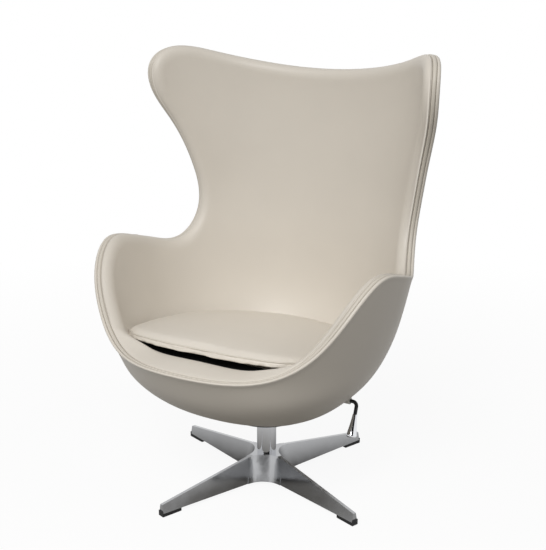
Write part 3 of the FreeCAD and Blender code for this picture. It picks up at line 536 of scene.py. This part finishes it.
TUCK = 14 * MM                          # the leather goes this far down past the deck,
GUTTER_START, GUTTER_TUCK = -150 * MM, 385 * MM     # and in front of this place down to this height
over_deck = (wall_inside[:, 2] > deck_height(wall_inside[:, 1]) - TUCK)[wall_faces].any(-1)
over_deck |= (wall_inside[:, 1] < AXIS[1] + GUTTER_START)[wall_faces].any(-1) & (
    wall_inside[:, 2] > GUTTER_TUCK)[wall_faces].any(-1)
inner_cover = leather("pod_inner_leather", rows, wall_inside, over_deck)
inner_cover.data.materials.append(cream_leather)
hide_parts("inner_cover", "wall_padding")

# Seat deck
# Under the cushion the seat foam is covered with the inner cover's leather. In front it drops into a
# shallow gutter lined with black cloth, which is seen only in the dark gap under the cushion's edge.
GUTTER_FLOOR, GUTTER_BACK = 397 * MM, -250 * MM
GUTTER_STEP = 2 * MM                    # its back wall leans back by this much
DECK = {"half": 300 * MM, "front": -308 * MM, "middle": -70 * MM, "back": 250 * MM}
DECK_FRONT_FULLNESS, DECK_BACK_FULLNESS = 3.2, 2
GUTTER_ROWS, DECK_ROWS, DECK_COLUMNS = 8, 22, 41
NARROWEST = 0.01                        # the end rows keep this share of the width
lengthwise = np.r_[np.linspace(DECK["front"], GUTTER_BACK - GUTTER_STEP, GUTTER_ROWS), GUTTER_BACK,
                   np.linspace(GUTTER_BACK + 20 * MM, DECK["back"], DECK_ROWS)]
deck_rows = []
for y in lengthwise:
    ahead = y < DECK["middle"]
    reach = DECK["front" if ahead else "back"] - DECK["middle"]
    power = DECK_FRONT_FULLNESS if ahead else DECK_BACK_FULLNESS
    share = max((1 - ((y - DECK["middle"]) / reach) ** power) ** (1 / power), NARROWEST)
    height = GUTTER_FLOOR if y < GUTTER_BACK else deck_height(y + AXIS[1])
    across = np.linspace(-1, 1, DECK_COLUMNS) * share * DECK["half"]
    deck_rows.append([(x, y + AXIS[1], height) for x in across])


def deck_sheet(name, rows):
    """A sheet through rows of places, each as long as the next."""
    columns = len(rows[0])
    quads = [(r * columns + c, r * columns + c + 1, (r + 1) * columns + c + 1, (r + 1) * columns + c)
             for r in range(len(rows) - 1) for c in range(columns - 1)]
    mesh = bpy.data.meshes.new(name)
    mesh.from_pydata([p for row in rows for p in row], [], quads)
    sheet = place(name, mesh)
    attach(sheet, "pod")
    return sheet


at_step = list(lengthwise).index(GUTTER_BACK)
deck = deck_sheet("seat_deck_leather", deck_rows[at_step:])
deck.data.materials.append(cream_leather)
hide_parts("seat_foam")
gutter = deck_sheet("seat_gutter_cloth", deck_rows[:at_step + 1])

# Closely woven polyester: dull black, with hardly any sheen and threads about 1 mm apart.
black_cloth, tree = new_material("black_lining_cloth")
where = add(tree, "ShaderNodeTexCoord")
threads = add(tree, "ShaderNodeTexNoise", {"Vector": (where, "Object")}, {"Scale": 900.0, "Detail": 2.0})
weave = add(tree, "ShaderNodeBump", {"Height": (threads, 0)}, {"Strength": 0.3, "Distance": 0.0003})
cloth = add(tree, "ShaderNodeBsdfPrincipled", {"Normal": (weave, 0)},
            {"Base Color": colour("#161715"), "Roughness": 0.95, "Specular IOR Level": 0.1})
add(tree, "ShaderNodeOutputMaterial", {"Surface": (cloth, 0)})
gutter.data.materials.append(black_cloth)
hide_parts("deck_lining")

# Loose seat cushion
# A thin boxed cushion with a crowned top. The foam core fills the cover tightly, so the top swells
# away from the piped seam and the narrow side strip is drawn in a little.
CUSHION_VOXEL = 5 * MM
CUSHION_SWELL = 9 * MM                  # no place moves further than this in the simulation
CUSHION_TIP = math.radians(8.6)
CUSHION_CORNER = np.array((0, -284, 424)) * MM + AXIS
CUSHION_BOXING = 18 * MM
CUSHION_OUTLINE = {"half": 270 * MM, "front": -284 * MM, "middle": -50 * MM, "back": 220 * MM}
FRONT_CORNERS, BACK_ROUND = 3.8, 2.0    # fullness of the outline in front and behind
CORNER_PULL = (0.05, 0.01)              # how much the filling widens its right and left front corners
CUSHION_SLIP = np.array((-8, -4, 0)) * MM
FRONT_SINK = (11 * MM, 6 * MM)          # the seat foam gives way under its front, less on the left
FRONT_SQUASH = 5 * MM                   # the side strip's lower edge is pressed up in front
CORNER_START, CORNER_FULL = 120 * MM, 230 * MM      # the corners widen between these places
CUSHION_BACK, CUSHION_LENGTH, CUSHION_SIDE = 250 * MM, 502 * MM, 250 * MM
SQUASH_START, SQUASH_FULL = 150 * MM, 235 * MM
FILLING_PRESSURE, FILLING_MOMENTS = 4, 20
UNDERSIDE_HOLD = 6 * MM                 # the swelling begins over this height
SIDE_HOLD = 0.55                        # share of the swelling that the side strip holds back
SEAM_PULL, SEAM_WIDTH = 1.6 * MM, 3.5 * MM
PUCKER_HEIGHT, PUCKER_LENGTH = 1.6 * MM, 1 / 38
SLACK_HEIGHT, SLACK_LENGTH = 1.2 * MM, 1 / 9
lengthways = np.array((0, math.cos(CUSHION_TIP), -math.sin(CUSHION_TIP)))
upright = np.array((0, math.sin(CUSHION_TIP), math.cos(CUSHION_TIP)))


def applied(piece):
    """Takes a piece's modifiers into its mesh."""
    mesh = bpy.data.meshes.new_from_object(piece.evaluated_get(bpy.context.evaluated_depsgraph_get()))
    piece.modifiers.clear()
    piece.data = mesh


def coordinates(mesh):
    values = np.empty(len(mesh.vertices) * 3)
    mesh.vertices.foreach_get("co", values)
    return values.reshape(-1, 3)


def settled(places):
    """Where the cushion lies: slipped a little to one side, and sunk in front."""
    pull = np.where(places[:, 0] < 0, *CORNER_PULL) * eased(-places[:, 1], CORNER_START, CORNER_FULL)
    front = (CUSHION_BACK - places[:, 1]) / CUSHION_LENGTH
    sink = np.interp(places[:, 0], (-CUSHION_SIDE, CUSHION_SIDE), FRONT_SINK) * front
    low = np.clip(1 - (places - CUSHION_CORNER) @ upright / CUSHION_BOXING, 0, 1)
    rise = FRONT_SQUASH * low * eased(-places[:, 1], SQUASH_START, SQUASH_FULL) - sink
    return places + CUSHION_SLIP + np.stack([places[:, 0] * pull, rise * 0, rise], -1)


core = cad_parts["cushion_core"]
cushion = place("seat_cushion", core.data.copy())
cushion.matrix_world = core.matrix_world
cushion.data.materials.clear()
remesh = cushion.modifiers.new("even_mesh", "REMESH")
remesh.mode = "VOXEL"
remesh.voxel_size = CUSHION_VOXEL
soften = cushion.modifiers.new("soft_edges", "SMOOTH")
soften.factor = 0.5
soften.iterations = 4
applied(cushion)
start = coordinates(cushion.data)
before = start
start = settled(before)
cushion.data.vertices.foreach_set("co", start.ravel())
cushion.data.update()
cloth = cushion.modifiers.new("swelling", "CLOTH")
cloth.settings.use_pressure = True
cloth.settings.uniform_pressure_force = FILLING_PRESSURE
cloth.settings.effector_weights.gravity = 0
for moment in range(1, FILLING_MOMENTS + 1):
    scene.frame_set(moment)
applied(cushion)
scene.frame_set(1)
swollen = coordinates(cushion.data)
moved = swollen - start
length = np.linalg.norm(moved, axis=1, keepdims=True)
moved *= np.minimum(1, CUSHION_SWELL / np.maximum(length, 1e-9))

# It rests on the deck, its sides swell less than its top, and it is drawn in along the piped seam. The
# side strip puckers a little, and the top is a little slack.
above = (before - CUSHION_CORNER) @ upright
facing = np.empty(len(start) * 3)
cushion.data.vertices.foreach_get("normal", facing)
facing = facing.reshape(-1, 3)
sideways = facing - (facing @ upright)[:, None] * upright
moved *= np.clip(above / UNDERSIDE_HOLD, 0, 1)[:, None]
moved -= SIDE_HOLD * (moved * sideways).sum(-1, keepdims=True) * sideways
swollen = start + moved
drawn = np.exp(-((above - CUSHION_BOXING) / SEAM_WIDTH) ** 2) * np.linalg.norm(sideways, axis=1)
swollen -= sideways * drawn[:, None] * SEAM_PULL
puckers = np.array([noise.noise(Vector(p) / PUCKER_LENGTH) for p in start])
slack = np.array([noise.noise(Vector(p) / SLACK_LENGTH + Vector((4, 0, 0))) for p in start])
strip = np.clip(1 - above / CUSHION_BOXING, 0, 1) * np.clip(above / (1 * MM), 0, 1)
swollen += facing * (puckers * strip * PUCKER_HEIGHT)[:, None]
swollen += facing * (slack * np.clip(above / CUSHION_BOXING - 0.5, 0, 1) * SLACK_HEIGHT)[:, None]
cushion.data.vertices.foreach_set("co", swollen.ravel())
cushion.modifiers.new("finer", "SUBSURF").levels = 1
applied(cushion)
cushion.data.shade_smooth()
cushion.data.materials.append(cream_leather)
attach(cushion, "pod")
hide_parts("cushion_cover", "cushion_core")

# Cushion piping
# A thin cord in a sleeve of leather, sewn in between the top and the side strip. It is laid along the
# edge of the finished cushion.
PIPING_RADIUS = 2.3 * MM
PIPING_PROUD = 0.5                      # share of its radius by which its middle stands off the cover
PIPING_COUNT, PIPING_SIDES = 360, 10
PIPING_ROUNDS = 3                       # rounds of smoothing along the cord
CAST_FROM = 0.3                         # the edge is looked for from this share of its reach outside
tree_of_faces = BVHTree.FromPolygons([Vector(v.co) for v in cushion.data.vertices],
                                     [tuple(p.vertices) for p in cushion.data.polygons])
widest = (CUSHION_OUTLINE["middle"] - CUSHION_OUTLINE["front"]) * lengthways
middle = settled((CUSHION_CORNER + widest + CUSHION_BOXING * upright)[None])[0]
line = []
for turn in np.linspace(0, 2 * math.pi, PIPING_COUNT, endpoint=False):
    across, along = math.sin(turn), math.cos(turn)
    power = BACK_ROUND if along > 0 else FRONT_CORNERS
    reach = CUSHION_OUTLINE["back"] if along > 0 else -CUSHION_OUTLINE["front"]
    reach = reach - CUSHION_OUTLINE["middle"] * (1 if along > 0 else -1)
    x = CUSHION_OUTLINE["half"] * math.copysign(abs(across) ** (2 / power), across)
    run = reach * math.copysign(abs(along) ** (2 / power), along) + CUSHION_OUTLINE["middle"]
    spot = CUSHION_CORNER + (run - CUSHION_OUTLINE["front"]) * lengthways + CUSHION_BOXING * upright
    spot[0] = x
    spot = settled(spot[None])[0]
    hit = tree_of_faces.ray_cast(Vector(spot + (spot - middle) * CAST_FROM), Vector(middle - spot))[0]
    line.append(np.array(hit))
line = np.array(line)
for _ in range(PIPING_ROUNDS):
    line = (np.roll(line, 1, 0) + 2 * line + np.roll(line, -1, 0)) / 4
forward = unit(np.roll(line, -1, 0) - np.roll(line, 1, 0))
out = unit(np.cross(forward, upright))
out *= np.sign((out * (line - line.mean(0))).sum(-1, keepdims=True))
centre = line + out * PIPING_RADIUS * PIPING_PROUD
vertices = []
for turn in np.linspace(0, 2 * math.pi, PIPING_SIDES, endpoint=False):
    vertices.append(centre + PIPING_RADIUS * (math.cos(turn) * out + math.sin(turn) * upright))
vertices = np.stack(vertices, 1).reshape(-1, 3)
quads = []
for i in range(PIPING_COUNT):
    for k in range(PIPING_SIDES):
        here, there = i * PIPING_SIDES, (i + 1) % PIPING_COUNT * PIPING_SIDES
        after = (k + 1) % PIPING_SIDES
        quads.append((here + k, there + k, there + after, here + after))
mesh = bpy.data.meshes.new("cushion_piping_cord")
mesh.from_pydata(vertices.tolist(), [], quads)
mesh.shade_smooth()
piping = place("cushion_piping_cord", mesh)
# Its leather is painted a little darker than the cushion, painted shade along the seam.
piping.data.materials.append(welt_leather)
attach(piping, "pod")
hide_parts("cushion_piping")

# Shell, padding and mounting block
# The pod's strength is a moulded plastic shell with foam bonded to both faces, and a round block of
# birch plywood bonded into its bottom for the screws. All of it is out of sight.


def finish(material, *names):
    """Gives solid pieces of the frame their finish."""
    for name in names:
        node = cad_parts[name]
        node.data.materials.clear()
        node.data.materials.append(material)


def smooth_or_rough(name, hex_code, low, high, scale, metal=0.0, relief=0.0, stretch=(1, 1, 1)):
    """A material of one colour whose roughness wanders between two values, with a faint relief."""
    material, tree = new_material(name)
    where = add(tree, "ShaderNodeTexCoord")
    along = add(tree, "ShaderNodeMapping", {"Vector": (where, "Object")}, {"Scale": stretch})
    marks = add(tree, "ShaderNodeTexNoise", {"Vector": (along, 0)}, {"Scale": scale, "Detail": 4.0})
    rough = add(tree, "ShaderNodeMapRange", {"Value": (marks, 0)},
                {"From Min": 0.3, "From Max": 0.7, "To Min": low, "To Max": high})
    bump = add(tree, "ShaderNodeBump", {"Height": (marks, 0)}, {"Strength": relief, "Distance": 0.0003})
    shader = add(tree, "ShaderNodeBsdfPrincipled", {"Roughness": (rough, 0), "Normal": (bump, 0)},
                 {"Base Color": colour(hex_code), "Metallic": metal})
    add(tree, "ShaderNodeOutputMaterial", {"Surface": (shader, 0)})
    return material


# Glass-filled polyamide is dark, hard and dull; cold-cure foam is pale yellow with fine open cells; and
# birch plywood shows its plies, 1.5 mm thick, as fine level stripes.
moulded_plastic = smooth_or_rough("dark_glass_filled_plastic", "#454543", 0.6, 0.8, 90, relief=0.2)
upholstery_foam = smooth_or_rough("cold_cure_foam", "#e3dab9", 0.9, 1.0, 700, relief=0.6)
plywood, tree = new_material("birch_plywood")
where = add(tree, "ShaderNodeTexCoord")
plies = add(tree, "ShaderNodeTexWave", {"Vector": (where, "Object")},
            {"Scale": 110.0, "Distortion": 0.6}, bands_direction="Z")
birch = add(tree, "ShaderNodeMix", {"Factor": (plies, "Fac")}, data_type="RGBA")
birch.inputs["A"].default_value = colour("#c8a878")
birch.inputs["B"].default_value = colour("#a98558")
board = add(tree, "ShaderNodeBsdfPrincipled", {"Base Color": (birch, "Result")}, {"Roughness": 0.7})
add(tree, "ShaderNodeOutputMaterial", {"Surface": (board, 0)})
finish(moulded_plastic, "moulded_shell")
finish(upholstery_foam, "outer_padding", "wall_padding", "seat_foam", "cushion_core")
finish(plywood, "mounting_block")
finish(cream_leather, "outer_cover", "inner_cover", "cushion_cover")
finish(welt_leather, "rim_welt", "cushion_piping")
finish(black_cloth, "deck_lining")

# Dust cover
# A flat ring of black moulded plastic under the opening in the pod. It hides the mechanism, and
# plated steel screws hold it to the mounting block.
black_plastic = smooth_or_rough("black_moulded_plastic", "#1a1a1b", 0.45, 0.6, 240, relief=0.12)
plain_steel = smooth_or_rough("zinc_plated_steel", "#b3b3b0", 0.3, 0.45, 160, metal=1.0)
finish(black_plastic, "dust_cover")
finish(plain_steel, "dust_cover_screws")

# Seat plate and tilt mechanism
# A black painted steel plate with two ears, screwed to the block. It hangs on a hollow steel pin, which
# is held by spring clips and turns in nylon bushes, and a rubber sleeve on the pin brings it upright.
black_steel = smooth_or_rough("black_powder_coated_steel", "#1c1c1d", 0.4, 0.5, 420, relief=0.15)
white_nylon = smooth_or_rough("natural_nylon", "#deddd6", 0.4, 0.55, 130)
black_rubber = smooth_or_rough("black_rubber", "#1d1d1d", 0.75, 0.9, 300, relief=0.2)
finish(black_steel, "seat_plate", "swivel_bracket")
finish(plain_steel, "seat_plate_screws", "tilt_pivot", "pivot_clips")
finish(white_nylon, "pivot_bushes", "lever_bush")
finish(black_rubber, "torsion_sleeve")

# Swivel
# A solid steel spindle turns in two plastic bushes in the column, on a ball bearing under its bracket.
# A nut, a washer and a clip keep it in the column.
finish(plain_steel, "spindle", "spindle_nut", "spindle_washer", "spindle_clip", "upper_race",
       "lower_race", "bearing_balls")
finish(white_nylon, "ball_cage", "lower_bush")
finish(black_plastic, "upper_bush")

# Column
# Chromed steel tube, pressed into the hub of the base. The chrome is a clear mirror, with faint marks
# along the tube from polishing.
chrome = smooth_or_rough("bright_chrome_on_steel", "#e4e5e8", 0.05, 0.12, 60, metal=1.0, stretch=(1, 1, 0.2))
finish(chrome, "column")

# Base
# Cast aluminium cross with four tapering legs, ground and polished. The polish is softer than chrome
# and a little uneven, and the edges are eased by the wheel.
EDGE_WIDTH, EDGE_ANGLE = 1.2 * MM, math.radians(25)     # edges sharper than this are eased
polished_aluminium = smooth_or_rough("polished_cast_aluminium", "#b4b5b7", 0.1, 0.24, 26, metal=1.0,
                                     relief=0.05)
finish(polished_aluminium, "base_casting")
eased_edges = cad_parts["base_casting"].modifiers.new("eased_edges", "BEVEL")
eased_edges.width = EDGE_WIDTH
eased_edges.segments = 2
eased_edges.limit_method = "ANGLE"
eased_edges.angle_limit = EDGE_ANGLE
eased_edges.harden_normals = True

# Glides
# Black plastic feet under the ends of the legs. Each is turned up over the leg's end face and held by
# one screw from below.
finish(black_plastic, "glide_left", "glide_back", "glide_right", "glide_front")
finish(plain_steel, "glide_screws")

# Lever
# Black painted steel rod, bent down, with a chromed drop-shaped handle on its end. A collar and a nut
# hold it in the hollow pin.
finish(black_steel, "lever_rod")
finish(chrome, "lever_handle")
finish(plain_steel, "lever_nut", "lever_collar")
